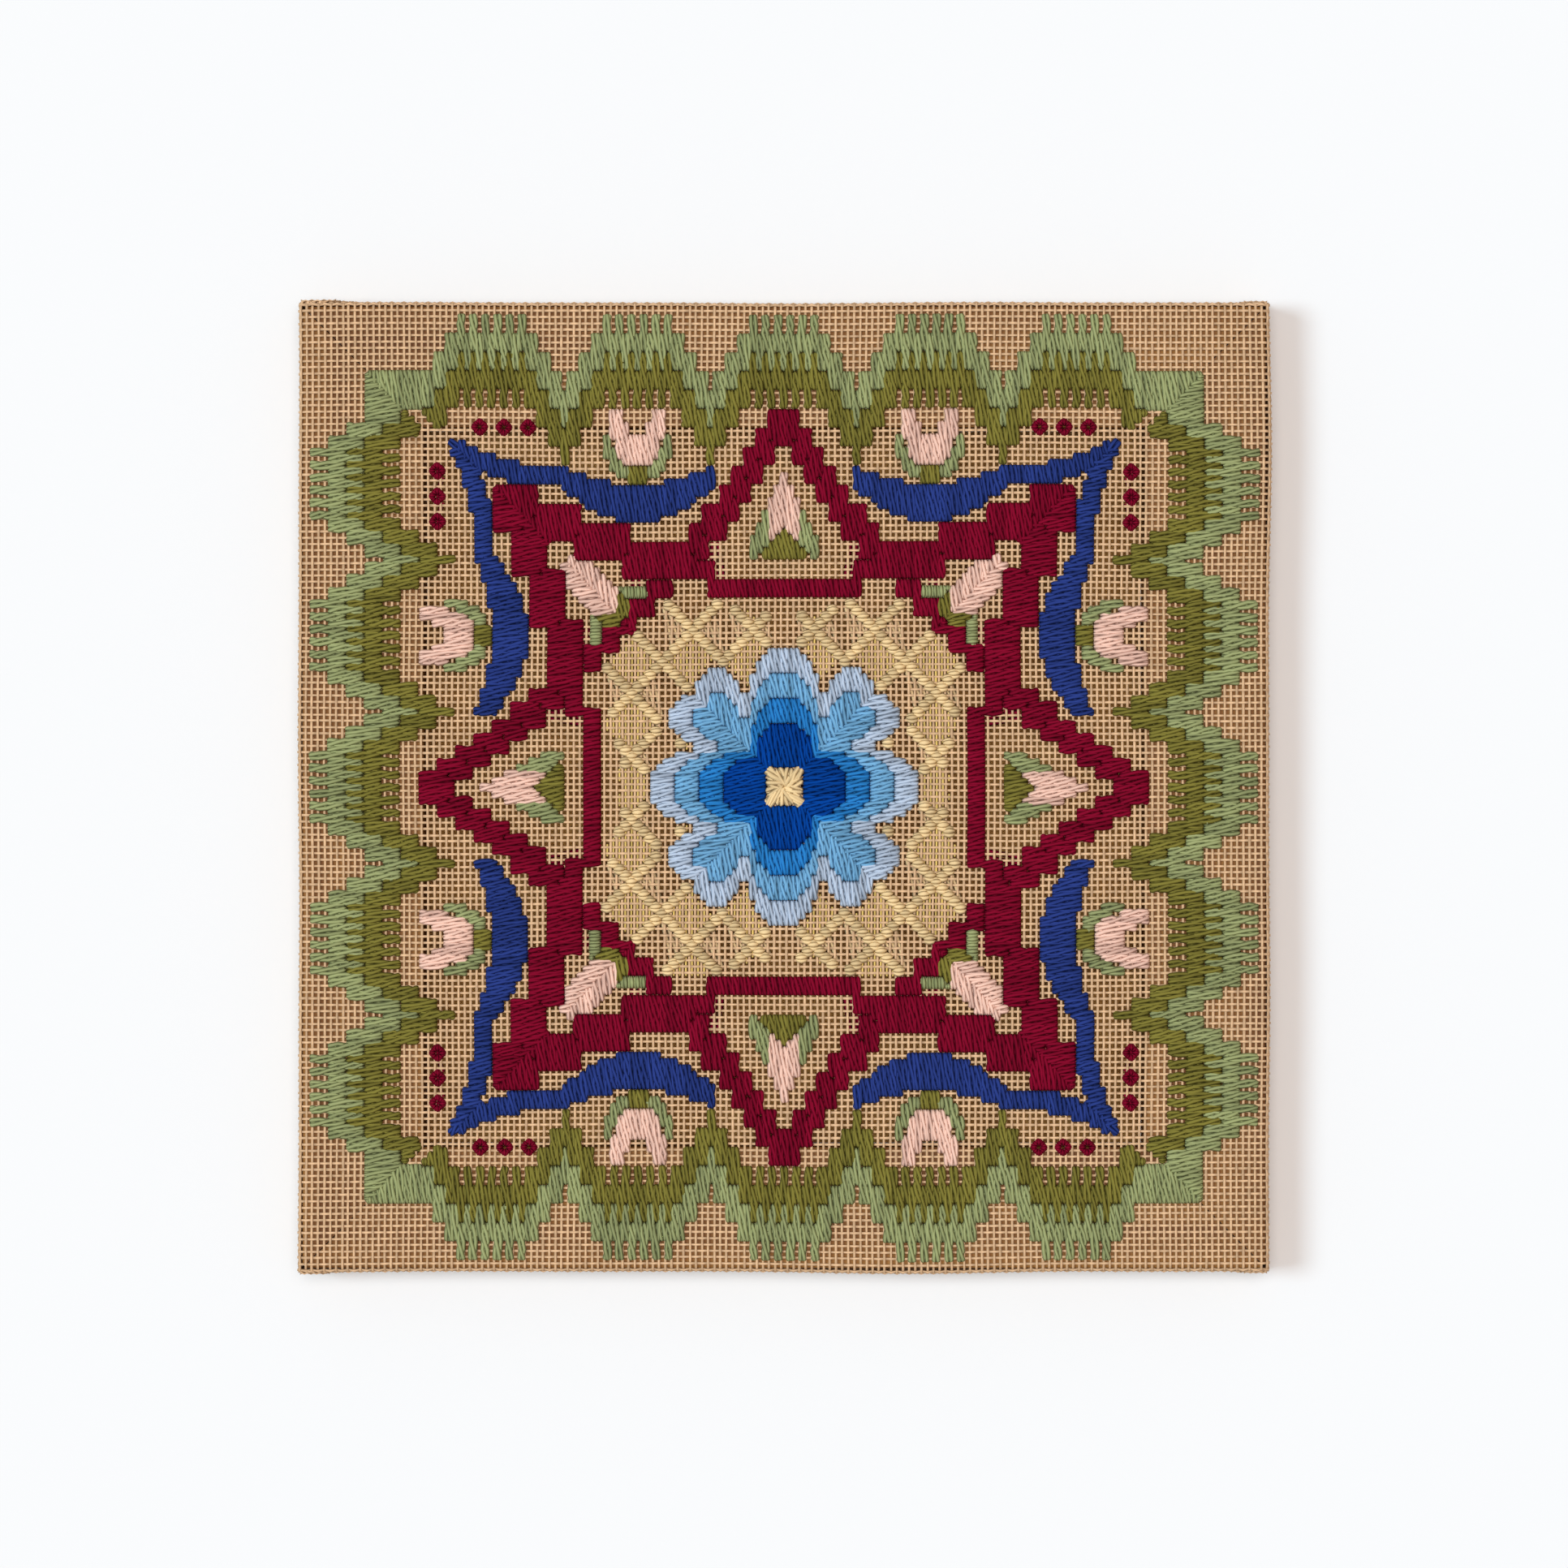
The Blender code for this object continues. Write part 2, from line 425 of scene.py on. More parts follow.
def corner_star(lane):
    rise = (lane / CORNER_STAR) ** CORNER_STAR_HOLLOW
    return CORNER_STAR_WAIST + (CORNER_STAR - CORNER_STAR_WAIST) * rise


SWAG_FROM, SWAG_TO = 12, 36  # between two dips of the border
SWAG_HIGH = 49
SWAG_SAG = 4
GARLAND_TIP = 53


def from_swag_middle(lane):
    """0 in the middle of the swag, 1 at its ends."""
    half = (SWAG_TO - SWAG_FROM) / 2
    return abs(lane - SWAG_FROM - half) / half


def garland(lane):
    if lane <= SWAG_TO:
        return SWAG_HIGH - SWAG_SAG * (1 - from_swag_middle(lane) ** 2)
    return SWAG_HIGH + (GARLAND_TIP - SWAG_HIGH) * ((lane - SWAG_TO) / (GARLAND_TIP - SWAG_TO)) ** 2


# For each lane from a flower's middle: where its parts end, from the flower's foot
TULIP = (
    (("olive", -1, 2), ("pink", 2, 7)),
    (("olive", -1, 2), ("pink", 2, 7)),
    (("sage", 0, 2), ("pink", 2, 9)),
    (("sage", 0, 3), ("pink", 3, 11)),
    (("sage", 1, 5), ("pink", 6, 11)),
    (("sage", 3, 7),),
)
BUD = (
    (("olive", 0, 5), ("pink", 5, 14)),
    (("olive", 0, 4), ("pink", 4, 12)),
    (("olive", 0, 3), ("pink", 3, 10)),
    (("olive", 0, 2), ("sage", 2, 8)),
    (("sage", 1, 6),),
    (("sage", 0, 4),),
)


def flower(octant, parts, middle, foot):
    for away, lane_parts in enumerate(parts):
        for lane in {middle - away, middle + away}:
            if lane >= 0:
                for colour, low, high in lane_parts:
                    octant.lay(colour, lane, foot + low, foot + high)


CORNER_BUD_FROM, CORNER_BUD_TO = 26, 36
CORNER_LEAF_FROM, CORNER_LEAF_TO = 23, 28
CORNER_LEAF_HIGH = 30


def corner_bud(octant):
    """A flower on the diagonal, on green leaves, within the corner star's tip."""
    for lane in range(CORNER_BUD_FROM, CORNER_BUD_TO):
        colour = "olive" if lane < CORNER_LEAF_TO else "pink"
        octant.lay(colour, lane, lane, min(lane + 4, round(corner_star(lane)) - STEP - 1))
    for lane in range(CORNER_LEAF_FROM, CORNER_LEAF_TO):
        octant.lay("sage", lane, CORNER_LEAF_HIGH, CORNER_LEAF_HIGH + 2)


ROSETTE = (22, 22, 22, 21, 20, 18, 15, 15, 17, 18, 19, 19, 19, 18, 17)  # height over each lane
EYELET = 3  # half the size of the cream square in its middle
BLUES = ("pale_blue", "sky_blue", "mid_blue", "deep_blue")
SHADE_BAND = 4  # rows of each blue


def rosette(octant):
    """Eight petals, darker inwards. A shade goes on down rather than leave a very short stitch."""
    for lane, top in enumerate(ROSETTE):
        foot = max(lane, EYELET)
        for blue in BLUES:
            low = top - SHADE_BAND
            if blue == BLUES[-1] or low < foot + 2:
                low = foot
            octant.lay(blue, lane, low, top)
            top = low


def eyelet():
    """Stitches from the centre to a small square round it."""
    rays = []
    for side in range(-EYELET, EYELET + 1, 2):
        for sign in (1, -1):
            rays.append(("cream", sign * EYELET, side, 0, 0))
            rays.append(("cream", side, sign * EYELET, 0, 0))
    return rays


KNOTS = ((42, 57), (46, 57), (50, 57))
KNOT_REACH = 1.45  # how far a knot's upright and level stitches reach from its middle
KNOT_SLANT = 0.9  # and its slanting ones, each way, to make it round
KNOT_PIT = 0.20  # how far from the middle they start


def knots():
    """Small rings of short stitches round a pit."""
    rays = []
    around = [(dx, dy) for dx in (-1, 0, 1) for dy in (-1, 0, 1) if dx or dy]
    for x, y in KNOTS:
        for dx, dy in around:
            out = KNOT_SLANT if dx and dy else KNOT_REACH
            start = (x + out * dx, y + out * dy)
            rays.append(("crimson", *start, x + KNOT_PIT * dx, y + KNOT_PIT * dy))
    return rays


def slanting_tip():
    """One stitch along the diagonal, to close the garland's tip."""
    tip = GARLAND_TIP
    return [("navy", tip, tip, tip + 2, tip + 2)]


TRELLIS = 10  # meshes across one diamond


def in_field(x, y):
    """Between the rosette and the crimson lines."""
    u, v = sorted((abs(x), abs(y)))
    petal = ROSETTE[u] if u < len(ROSETTE) else 0
    edge = min(axis_star(u), corner_star(u)) - THIN
    return petal < v < edge


def trellis():
    """Short level stitches in crossing diagonals, and fine darning in every other diamond."""
    stitches = []
    reach_of_field = range(-CORNER_STAR_WAIST, CORNER_STAR_WAIST + 1)
    for x in reach_of_field:
        run = []
        for y in reach_of_field:
            on_line = (x + y) % TRELLIS == 0 or (x - y) % TRELLIS == 0
            if on_line and in_field(x - 1, y) and in_field(x + 1, y):
                stitches.append(("cream", x - 1, y, x + 1, y))
            darned = ((x + y) // TRELLIS + (x - y) // TRELLIS) % 2 == 0
            if darned and in_field(x, y):
                run.append(y)
            elif run:
                if len(run) > SHORTEST:
                    stitches.append(("gold", x, run[0], x, run[-1]))
                run = []
    return stitches


def make_chart():
    chart = Chart()
    chart.border_copies(flame_border())
    octant = Octant()
    octant.follow("crimson", axis_star, range(STARS_CROSS + 1), STITCH)
    octant.follow("crimson", corner_star, range(STARS_CROSS + 1, CORNER_STAR + STEP), STITCH)
    octant.follow("crimson", axis_star, range(STARS_CROSS + 1, AXIS_STAR), THIN)
    octant.follow("crimson", corner_star, range(STARS_CROSS), THIN)
    for lane in range(SWAG_FROM, GARLAND_TIP + 1):
        plump = max(0, 1 - from_swag_middle(lane) ** 2)
        octant.follow("navy", garland, [lane], THIN + THIN * plump, 1)
    flower(octant, TULIP, (SWAG_FROM + SWAG_TO) // 2, SWAG_HIGH)
    flower(octant, BUD, 0, CORNER_STAR_WAIST + STITCH)
    corner_bud(octant)
    rosette(octant)
    chart.copies(octant.stitches())
    chart.copies(slanting_tip())
    chart.copies(knots())
    chart.stitches += eyelet() + trellis()
    return chart


# Threads of the canvas


def weave(tubes, spots, along_x, main_is_x, index, indices, wave, covered=None):
    """One canvas thread through the crossings at spots, over and under by turns.

    Under stitches it is pressed down and runs straight."""
    if covered is None:
        covered = np.zeros(len(indices), bool)
    keep = ~(covered & np.roll(covered, 1) & np.roll(covered, -1))
    keep[0] = keep[-1] = True
    main, other = spots
    drift = rng.normal(0, UNEVEN_PITCH)
    if along_x == main_is_x:
        other = other + drift
    else:
        main = main + drift
    points, normals = cloth(main[keep], other[keep], main_is_x)
    over = np.where((indices[keep] + index + along_x) % 2 == 0, 1.0, -1.0)
    lift = np.where(covered[keep], -SUNK, wave * over)
    points = points + normals * lift[:, None]
    slubs = np.convolve(rng.normal(0, UNEVEN, len(over) + SLUB - 1), np.ones(SLUB) / SLUB**0.5, "valid")
    wide = THREAD_WIDE * (rng.uniform(*THREAD_WIDTHS) + slubs)
    # Its own tone, plus painted highlight where the thread rises and painted shade where it dips
    shade = THREAD_SHADES * rng.uniform() + WAVE_PAINTED_LIGHT * over * wave / WEFT_WAVE
    tubes.add(points, normals, wide, THREAD_THICK, shade)


def reach(half):
    """Length of the cloth from the face's centre line to the flap's free edge."""
    radius = EDGE_ROUND - CLOTH / 2
    return half - EDGE_ROUND + math.pi * radius + DEPTH - 2 * EDGE_ROUND + FLAP - EDGE_ROUND


def inset_of_flap(s, half):
    """How far in from the edge a place on the flap lies, and 0 elsewhere."""
    out, _, _, up = section(s, half)
    faces_down = up < -0.5
    return np.where(faces_down, half - np.abs(out), 0.0)


def face_threads(tubes_of, covered, is_warp):
    """Threads that cross the face, go down the sides and end at the flaps' free edges."""
    halves = (FACE_WIDTH / 2, FACE_HEIGHT / 2)
    count, across, half_across = (WARPS, 0, halves[0]) if is_warp else (WEFTS, 1, halves[1])
    along = 1 - across
    half = halves[along]
    crossings = (WARPS, WEFTS)[along]
    extra = int((reach(half) - half) / PITCH[along])
    indices = np.arange(-extra, crossings + extra)
    s = (indices - (crossings - 1) / 2) * PITCH[along]
    for i in range(count):
        place = (i - (count - 1) / 2) * PITCH[across]
        keep = inset_of_flap(s, half) <= half_across - abs(place)
        hidden = np.zeros(len(s), bool)
        hidden[extra : extra + crossings] = covered[i, :] if is_warp else covered[:, i]
        spots = (s[keep], np.full(keep.sum(), place))
        wave = WARP_WAVE if is_warp else WEFT_WAVE
        weave(tubes_of(place), spots, not is_warp, not is_warp, i, indices[keep], wave, hidden[keep])


def edge_threads(tubes, is_warp, sign):
    """Threads that lie along one side and its flap, parallel to the edge."""
    halves = (FACE_WIDTH / 2, FACE_HEIGHT / 2)
    across = 0 if is_warp else 1
    along = 1 - across
    half_across, half = halves[across], halves[along]
    count = (WARPS, WEFTS)[across]
    crossings = (WARPS, WEFTS)[along]
    extra = int((reach(half_across) - half_across) / PITCH[across])
    indices = np.arange(crossings)
    s = (indices - (crossings - 1) / 2) * PITCH[along]
    for k in range(extra):
        i = count + k if sign > 0 else -1 - k
        place = (i - (count - 1) / 2) * PITCH[across]
        keep = half - np.abs(s) > inset_of_flap(place, half_across)
        spots = (np.full(keep.sum(), place), s[keep])
        wave = WARP_WAVE if is_warp else WEFT_WAVE
        weave(tubes, spots, not is_warp, is_warp, i, indices[keep], wave)


# How far each folded corner reaches along the side, at the back, and how thick it is
FOLDS = {
    ("top", "left"): (0.0250, 0.0010),
    ("top", "right"): (0.0180, 0.0006),
    ("bottom", "left"): (0.0210, 0.0006),
    ("bottom", "right"): (0.0200, 0.0006),
}
FOLD_AT_FRONT = 0.35  # its reach at the front, as a share of that at the back
FOLD_ROWS = 11
FOLD_EDGE = 0.0004  # from the corner to where it starts
FOLD_RISE = 0.003  # length over which it comes clear of the cloth under it


def folded_corner(tubes, side, end):
    """The cloth of one side, turned round the corner over the next side and cut slanting."""
    reach_back, thick = FOLDS[side, end]
    up = 1 if side == "top" else -1
    sign = 1 if end == "right" else -1
    start = FACE_HEIGHT / 2 - EDGE_ROUND / 3
    rows = np.linspace(start, start + DEPTH - EDGE_ROUND / 2, FOLD_ROWS)
    rise = smooth((rows - rows[0]) / FOLD_RISE) * smooth((rows[-1] - rows) / FOLD_RISE)
    for row, s in enumerate(rows):
        length = reach_back * (FOLD_AT_FRONT + (1 - FOLD_AT_FRONT) * row / (FOLD_ROWS - 1))
        away = np.arange(FOLD_EDGE, length, PITCH[0])
        over = np.where((np.arange(len(away)) + row) % 2 == 0, 1.0, -1.0)
        points, normals = cloth(np.full(len(away), up * s), sign * (FACE_WIDTH / 2 - away), False)
        points += normals * (thick * rise[row] + WEFT_WAVE * over)[:, None]
        tubes.add(points, normals, THREAD_WIDE, THREAD_THICK, rng.uniform())
    for column in range(int(reach_back / PITCH[0])):
        away = FOLD_EDGE + (column + 0.5) * PITCH[0]
        first = max(0, (away / reach_back - FOLD_AT_FRONT) / (1 - FOLD_AT_FRONT))
        s = rows[math.ceil(first * (FOLD_ROWS - 1)) :]
        if len(s) < 3:
            continue
        over = np.where((np.arange(len(s)) + column) % 2 == 0, 1.0, -1.0)
        points, normals = cloth(up * s, np.full(len(s), sign * (FACE_WIDTH / 2 - away)), False)
        points += normals * (thick * rise[-len(s) :] + WARP_WAVE * over)[:, None]
        tubes.add(points, normals, THREAD_WIDE, THREAD_THICK, rng.uniform())


def make_canvas(chart, material):
    covered = chart.cover()
    pieces = []
    for name, is_warp in (("warp", True), ("weft", False)):
        low, high = Tubes(), Tubes()
        face_threads(lambda place: low if place < 0 else high, covered, is_warp)
        edge_threads(low, is_warp, -1)
        edge_threads(high, is_warp, 1)
        if not is_warp:
            for side, end in FOLDS:
                folded_corner(low if side == "bottom" else high, side, end)
        pieces.append(low.build(f"canvas_{name}_low", material, "canvas", CANVAS_COLUMNS))
        pieces.append(high.build(f"canvas_{name}_high", material, "canvas", CANVAS_COLUMNS))
    return pieces


# Stitches


def hole(x, y):
    px, py = strayed(np.float64(x) * PITCH[0], np.float64(y) * PITCH[1])
    return np.array([px, py, MIDDLE])


def stitch(tubes, start, end, size=1.0):
    """One stitch: plies that rise from a hole, lie twisted side by side and go down again."""
    run = end - start
    length = np.linalg.norm(run)
    run /= length
    side = np.array([-run[1], run[0], 0.0])
    up = np.array([0.0, 0.0, 1.0])
    shoulder = min(SHOULDER_AT, SHOULDER_SHARE * length)
    stations = max(1, round(length / STATION_STEP) - 1)
    middle = np.linspace(shoulder, length - shoulder, stations + 2)[1:-1]
    along = np.array([HOLE_GAP, shoulder, *middle, length - shoulder, length - HOLE_GAP])
    high = YARN_LIFT + rng.uniform(-LIFT_SPREAD, LIFT_SPREAD)
    lift = np.array([YARN_DIP, YARN_SHOULDER, *(high,) * stations, YARN_SHOULDER, YARN_DIP])
    if length < SHORT_STITCH:
        fullness = np.array(SHORT_FULL) * min(1.0, length / (2 * PITCH[0])) ** 0.5
        turn = math.pi / 2
        turns = SHORT_TURNS
    else:
        fullness = np.array([END_FULL, *(1.0,) * (stations + 2), END_FULL])
        turn = rng.uniform(0, 2 * math.pi)
        turns = YARN_TURNS * rng.uniform(1 - TURN_SPREAD, 1 + TURN_SPREAD)
    fullness *= rng.uniform(1 - SIZE_SPREAD, 1 + SIZE_SPREAD) * size
    sway = rng.uniform(-SWAY, SWAY) * np.sin(along / length * math.pi)
    spine = start + run * along[:, None] + side * sway[:, None] + up * lift[:, None]
    shade = rng.uniform()
    normals = np.tile(up, (len(along), 1))
    for ply in range(PLIES):
        angle = turn + 2 * math.pi * (ply / PLIES + turns * along)
        across = (BUNDLE_RADIUS * fullness * np.cos(angle))[:, None]
        above = (FLATNESS * BUNDLE_RADIUS * fullness * np.sin(angle))[:, None]
        path = spine + side * across + up * above
        wide = PLY_RADIUS * fullness
        tubes.add(path, normals, wide, PLY_FLAT * wide, shade)


def lone_ply(tubes, start, end, places, lift, wide, thick):
    """One untwisted ply between two holes, at the given heights over the cloth's mid-plane."""
    spine = start + (end - start) * np.array(places)[:, None]
    spine[:, 2] += lift
    tubes.add(spine, np.tile([0.0, 0.0, 1.0], (len(places), 1)), wide, thick, rng.uniform())


def fine_thread(tubes, start, end):
    """A single ply on the face, for the darning."""
    places = (0.0, DARNING_END, 0.5, 1 - DARNING_END, 1.0)
    lift = (DARNING_DIP, 0.0, 0.0, 0.0, DARNING_DIP)
    lone_ply(tubes, start, end, places, lift, DARNING_WIDE, DARNING_THICK)


def back_run(tubes, start, end):
    """The yarn behind the cloth, from where one stitch ends to where the next begins."""
    places = (BACK_END, BACK_BEND, 1 - BACK_BEND, 1 - BACK_END)
    lift = (BACK_DIP, BACK_LIFT, BACK_LIFT, BACK_DIP)
    lone_ply(tubes, start, end, places, lift, BACK_WIDE, BACK_THICK)


def open_behind(point):
    """True where the frame leaves room behind the cloth."""
    return max(abs(point[0]), abs(point[1])) < OPENING


def make_stitches(chart, materials):
    groups = {}
    ended = {}
    for colour, x0, y0, x1, y1 in chart.stitches:
        tubes = groups.setdefault(colour, Plies())
        start, end = hole(x0, y0), hole(x1, y1)
        if colour == "gold":
            fine_thread(tubes, start, end)
            continue
        size = PLUMP_CREAM if colour == "cream" else 1.0
        stitch(tubes, start, end, size * (PLUMP_LEVEL if y0 == y1 else 1.0))
        last = ended.get(colour)
        if last is not None and open_behind(last) and open_behind(start):
            if 1 < np.linalg.norm(start - last) / PITCH[0] < BACK_LONGEST:
                back_run(tubes, last, start)
        ended[colour] = end
    for colour, tubes in groups.items():
        tubes.build(f"wool_{colour}", materials[colour], "wool", WOOL_COLUMNS)


# Materials

DARKER = 0.66  # darkest shade of a fibre's colour: its darkest streaks and its painted-shade sides
LIGHTER = 1.40  # lightest shade: its lightest streaks and its painted highlight
BRIGHTEST = 0.95  # the most light that any surface gives back
SHADE_FROM, SHADE_TO = 0.18, 0.78  # streaks, own tone and painted light together, at this strength, are darkest and lightest
SHADE_SHARE = 0.35  # how much a stitch's or thread's shade counts beside its streaks; on canvas threads it holds painted highlight and shade too
STREAKS_PER_METRE = 220.0
FIBRE_BUMP = 0.6


def linear(*rgb):
    """Colour as shown, from 0 to 255, to the shader's own scale."""
    values = [v / 255 for v in rgb]
    return tuple(v / 12.92 if v <= 0.04045 else ((v + 0.055) / 1.055) ** 2.4 for v in values)


def new_material(name, rough, shine=0.25):
    material = bpy.data.materials.new(name)
    material.use_nodes = True
    shader = material.node_tree.nodes["Principled BSDF"]
    shader.inputs["Roughness"].default_value = rough
    shader.inputs["Specular IOR Level"].default_value = shine
    return material, material.node_tree.nodes, material.node_tree.links, shader


def fibre_material(name, colour, rough, shine, fibres, depth, painted_top_light, painted_side_shade):
    """Spun fibre: streaks along the tube, a little lighter or darker from stitch to stitch, with a
    painted highlight along the tube's top and painted shade down its sides.

    fibres is how many streaks lie round the tube, depth how deep they are, painted_top_light where
    round the tube the painted highlight is brightest, and painted_side_shade how much painted shade
    darkens its sides."""
    material, nodes, links, shader = new_material(name, rough, shine)
    uv = nodes.new("ShaderNodeUVMap")
    uv.uv_map = "fibre"
    stretch = nodes.new("ShaderNodeMapping")
    stretch.inputs["Scale"].default_value = (STREAKS_PER_METRE, fibres, 1.0)
    streaks = nodes.new("ShaderNodeTexNoise")
    streaks.inputs["Scale"].default_value = 1.0
    streaks.inputs["Detail"].default_value = 3.0
    links.new(uv.outputs["UV"], stretch.inputs["Vector"])
    links.new(stretch.outputs["Vector"], streaks.inputs["Vector"])
    shade = nodes.new("ShaderNodeAttribute")
    shade.attribute_name = "shade"
    both = nodes.new("ShaderNodeMath")
    both.operation = "MULTIPLY_ADD"
    both.inputs[1].default_value = SHADE_SHARE
    links.new(shade.outputs["Fac"], both.inputs[0])
    links.new(streaks.outputs["Fac"], both.inputs[2])
    # Painted light round the tube: lightest at the top, with painted shade down the sides
    round_tube = nodes.new("ShaderNodeSeparateXYZ")
    links.new(uv.outputs["UV"], round_tube.inputs["Vector"])
    from_ridge = nodes.new("ShaderNodeMath")
    from_ridge.operation = "SUBTRACT"
    from_ridge.inputs[1].default_value = painted_top_light
    links.new(round_tube.outputs["Y"], from_ridge.inputs[0])
    away = nodes.new("ShaderNodeMath")
    away.operation = "ABSOLUTE"
    links.new(from_ridge.outputs["Value"], away.inputs[0])
    darkened = nodes.new("ShaderNodeMath")
    darkened.operation = "MULTIPLY_ADD"
    darkened.inputs[1].default_value = -4 * painted_side_shade  # the sides are a quarter of the way round; painted shade darkens them
    links.new(away.outputs["Value"], darkened.inputs[0])
    links.new(both.outputs["Value"], darkened.inputs[2])
    ramp = nodes.new("ShaderNodeValToRGB")
    ramp.color_ramp.elements[0].position = SHADE_FROM
    ramp.color_ramp.elements[0].color = (*(DARKER * c for c in colour), 1.0)
    ramp.color_ramp.elements[1].position = SHADE_TO
    ramp.color_ramp.elements[1].color = (*(min(LIGHTER * c, BRIGHTEST) for c in colour), 1.0)
    links.new(darkened.outputs["Value"], ramp.inputs["Fac"])
    links.new(ramp.outputs["Color"], shader.inputs["Base Color"])
    bump = nodes.new("ShaderNodeBump")
    bump.inputs["Strength"].default_value = FIBRE_BUMP
    bump.inputs["Distance"].default_value = depth
    links.new(streaks.outputs["Fac"], bump.inputs["Height"])
    links.new(bump.outputs["Normal"], shader.inputs["Normal"])
    return material


# Colours as shown, from 0 to 255
WOOLS = {
    "sage": (139, 146, 101),
    "olive": (114, 108, 48),
    "crimson": (116, 8, 37),
    "navy": (37, 54, 117),
    "pink": (221, 179, 163),
    "pale_blue": (165, 179, 197),
    "sky_blue": (104, 155, 191),
    "mid_blue": (37, 114, 178),
    "deep_blue": (3, 58, 136),
    "cream": (214, 188, 142),
    "gold": (212, 184, 106),
}
LINEN = (203, 168, 131)
PINE_DARK = (120, 75, 34)
PINE_LIGHT = (164, 115, 56)
GRAIN_ACROSS = 90.0  # streaks of the wood's grain per metre
GRAIN_ALONG = 4.0
GRAIN_FROM, GRAIN_TO = 0.35, 0.7  # grain of this strength is darkest and lightest


def wool_materials():
    # The last two set where round a ply the painted highlight lies and how much painted shade darkens
    # its sides
    look = {"rough": 0.9, "shine": 0.05, "fibres": 9.0, "depth": 0.00015, "painted_top_light": 0.75, "painted_side_shade": 0.42}
    return {
        name: fibre_material(f"wool_{name}", linear(*colour), **look) for name, colour in WOOLS.items()
    }


def linen_material():
    # The last two set where round a thread the painted highlight lies and how much painted shade
    # darkens its sides
    look = {"rough": 0.7, "shine": 0.2, "fibres": 4.0, "depth": 0.00006, "painted_top_light": 0.625, "painted_side_shade": 0.28}
    return fibre_material("canvas", linear(*LINEN), **look)


def pine_material(name, along):
    material, nodes, links, shader = new_material(name, 0.6)
    where = nodes.new("ShaderNodeTexCoord")
    stretch = nodes.new("ShaderNodeMapping")
    scale = [GRAIN_ACROSS] * 3
    scale[along] = GRAIN_ALONG
    stretch.inputs["Scale"].default_value = scale
    grain = nodes.new("ShaderNodeTexNoise")
    grain.inputs["Scale"].default_value = 1.0
    grain.inputs["Detail"].default_value = 5.0
    grain.inputs["Distortion"].default_value = 0.6
    links.new(where.outputs["Object"], stretch.inputs["Vector"])
    links.new(stretch.outputs["Vector"], grain.inputs["Vector"])
    ramp = nodes.new("ShaderNodeValToRGB")
    ramp.color_ramp.elements[0].position = GRAIN_FROM
    ramp.color_ramp.elements[0].color = (*linear(*PINE_DARK), 1.0)
    ramp.color_ramp.elements[1].position = GRAIN_TO
    ramp.color_ramp.elements[1].color = (*linear(*PINE_LIGHT), 1.0)
    links.new(grain.outputs["Fac"], ramp.inputs["Fac"])
    links.new(ramp.outputs["Color"], shader.inputs["Base Color"])
    bump = nodes.new("ShaderNodeBump")
    bump.inputs["Strength"].default_value = 0.3
    bump.inputs["Distance"].default_value = 0.0003
    links.new(grain.outputs["Fac"], bump.inputs["Height"])
    links.new(bump.outputs["Normal"], shader.inputs["Normal"])
    return material


def dress_bars():
    for along, names in ((0, ("bar_top", "bar_bottom")), (1, ("bar_left", "bar_right"))):
        pine = pine_material(f"pine_{'xy'[along]}", along)
        for name in names:
            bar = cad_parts[name]
            bar.data.materials.clear()
            bar.data.materials.append(pine)


# Surroundings

PIXELS = 1932  # width and height of the picture
PANEL_PIXELS = 1200  # width of the panel in it
PANEL_AT = (966, 970)  # the panel's middle in it
CAMERA_AWAY = 1.8
FLOOR_SIZE = 20.0
FLOOR_COLOUR = (0.862, 0.882, 0.90, 1.0)
PAINTED_SHADE_UNDER_MESH = (0.60, 0.30, 0.08, 1.0)  # painted shade: dark warm brown on the floor inside the frame, standing in for the shade under the mesh
ROOM_COLOUR = (1.0, 0.904, 0.849)
ROOM_LIGHT = 0.34
SKY_COLOUR = (0.82, 1.03, 1.15)


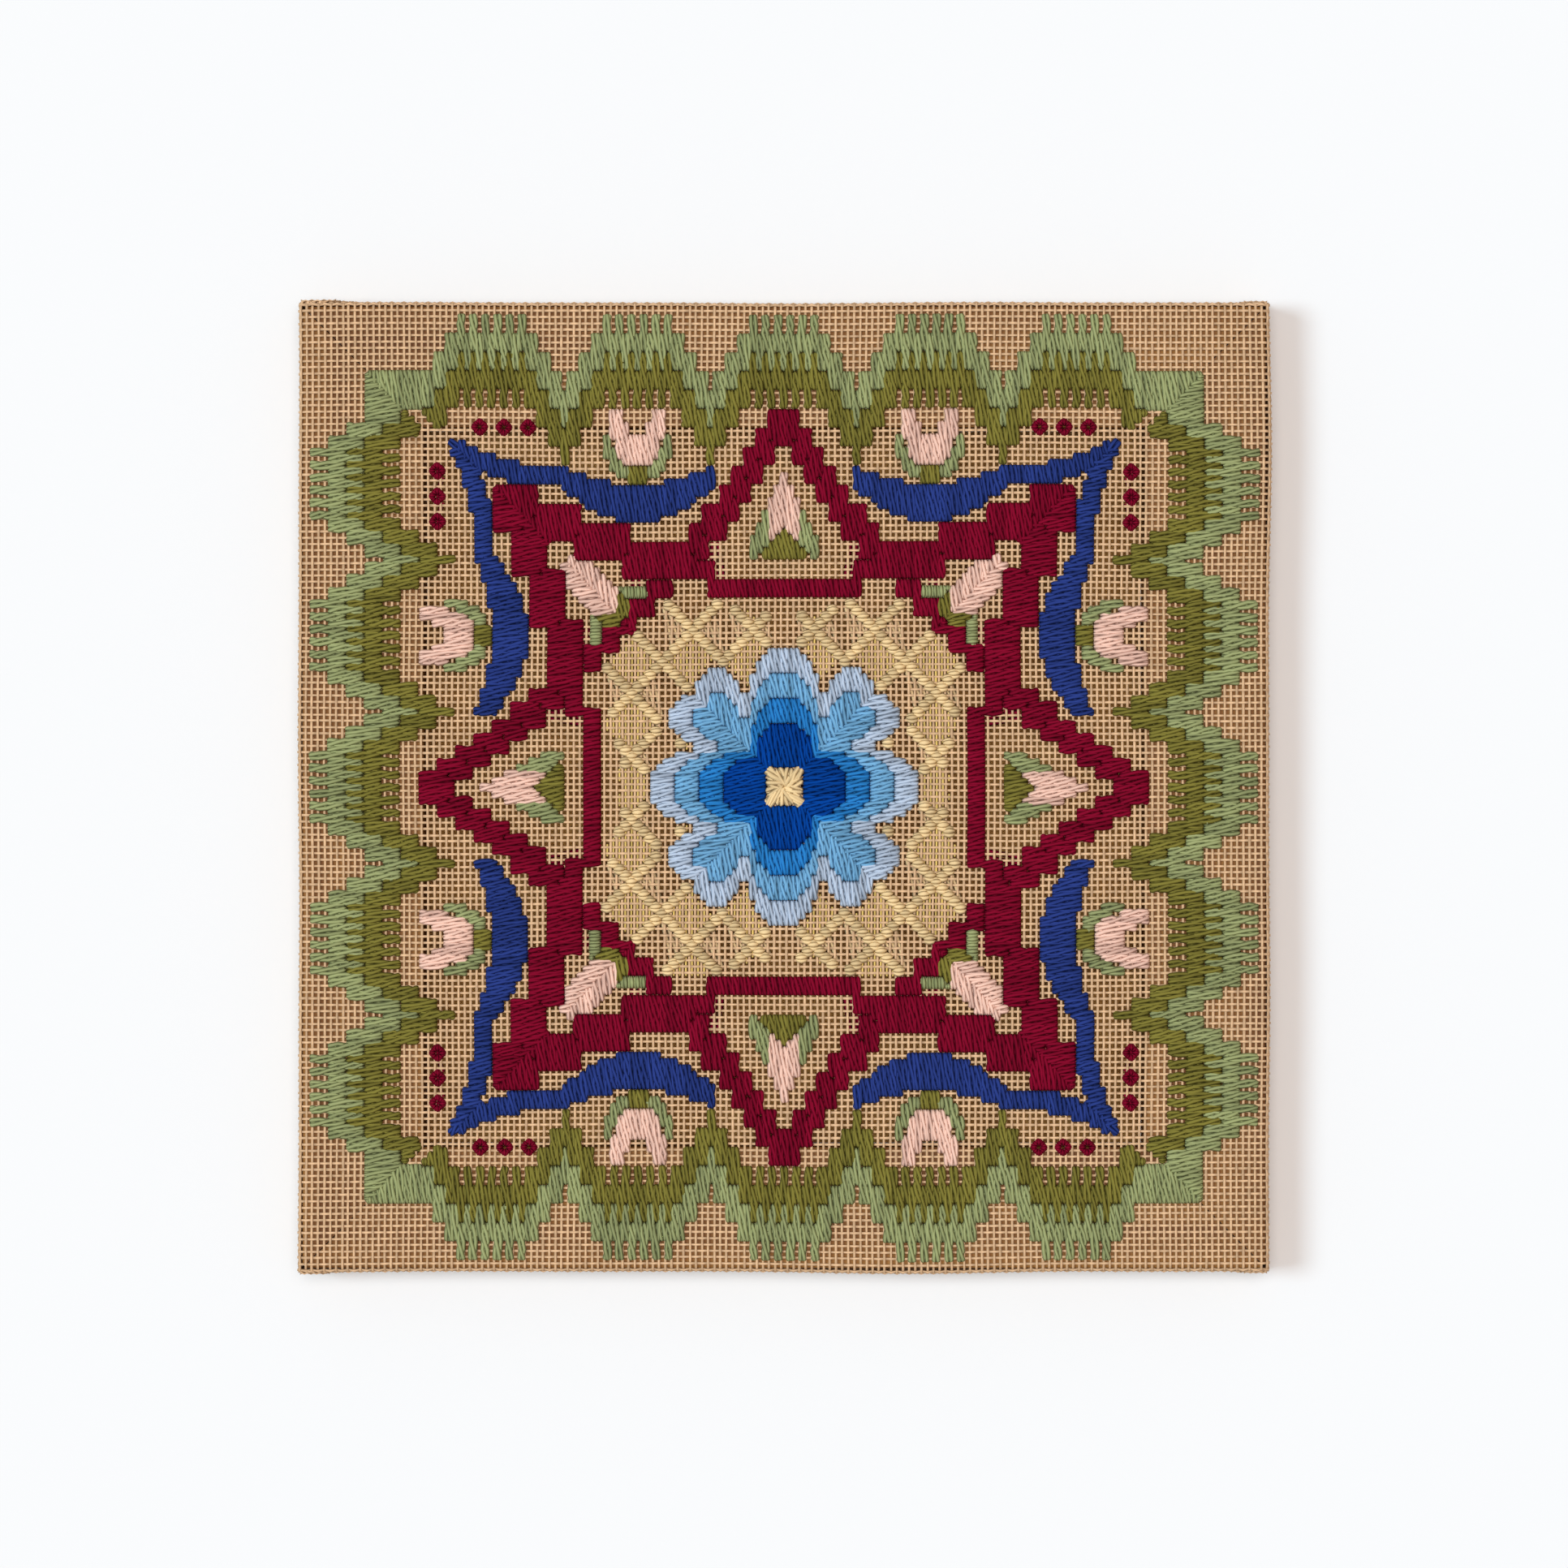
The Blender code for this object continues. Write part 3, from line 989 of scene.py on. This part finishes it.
def make_floor():
    bpy.ops.mesh.primitive_plane_add(size=FLOOR_SIZE, location=(0, 0, 0))
    floor = bpy.context.object
    floor.name = "floor"
    material, nodes, links, shader = new_material("floor", 0.9)
    where = nodes.new("ShaderNodeTexCoord")
    apart = nodes.new("ShaderNodeSeparateXYZ")
    links.new(where.outputs["Object"], apart.inputs["Vector"])
    far = nodes.new("ShaderNodeMath")
    far.operation = "MAXIMUM"
    for i, axis in enumerate("XY"):
        size = nodes.new("ShaderNodeMath")
        size.operation = "ABSOLUTE"
        links.new(apart.outputs[axis], size.inputs[0])
        links.new(size.outputs["Value"], far.inputs[i])
    # Inside the frame the floor gets painted shade: brown that stands in for the shade under the mesh
    inside = nodes.new("ShaderNodeMath")
    inside.operation = "LESS_THAN"
    inside.inputs[1].default_value = OPENING
    links.new(far.outputs["Value"], inside.inputs[0])
    colour = nodes.new("ShaderNodeMix")
    colour.data_type = "RGBA"
    links.new(inside.outputs["Value"], colour.inputs["Factor"])
    colour.inputs["A"].default_value = FLOOR_COLOUR
    colour.inputs["B"].default_value = PAINTED_SHADE_UNDER_MESH
    links.new(colour.outputs["Result"], shader.inputs["Base Color"])
    floor.data.materials.append(material)


def make_lamp(name, energy, colour, spread, lean):
    """A far lamp. spread is how wide it looks, and lean how it is turned about x and y, in degrees."""
    lamp = bpy.data.lights.new(name, "SUN")
    lamp.energy = energy
    lamp.angle = math.radians(spread)
    lamp.color = colour
    item = bpy.data.objects.new(name, lamp)
    item.rotation_euler = (math.radians(lean[0]), math.radians(lean[1]), 0)
    bpy.context.scene.collection.objects.link(item)


def make_light():
    world = bpy.data.worlds.new("room")
    bpy.context.scene.world = world
    world.use_nodes = True
    room = world.node_tree.nodes["Background"]
    room.inputs["Color"].default_value = (*ROOM_COLOUR, 1.0)
    room.inputs["Strength"].default_value = ROOM_LIGHT
    make_lamp("window", energy=1.30, colour=SKY_COLOUR, spread=20, lean=(-3, -36))
    make_lamp("overhead", energy=1.57, colour=ROOM_COLOUR, spread=30, lean=(-4, 0))


def make_camera():
    metres_per_pixel = FACE_WIDTH / PANEL_PIXELS
    lens = bpy.data.cameras.new("camera")
    lens.sensor_width = 36.0
    lens.lens = lens.sensor_width * CAMERA_AWAY / (PIXELS * metres_per_pixel)
    camera = bpy.data.objects.new("camera", lens)
    dx = (PIXELS / 2 - PANEL_AT[0]) * metres_per_pixel
    dy = (PANEL_AT[1] - PIXELS / 2) * metres_per_pixel
    camera.location = (dx, dy, DEPTH + CAMERA_AWAY)
    bpy.context.scene.collection.objects.link(camera)
    bpy.context.scene.camera = camera
    bpy.context.scene.view_settings.view_transform = "Standard"


def main():
    make_camera()
    make_light()
    make_floor()
    dress_bars()
    chart = make_chart()
    canvas = make_canvas(chart, linen_material())
    make_stitches(chart, wool_materials())
    for piece in canvas:
        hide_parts("canvas")


main()
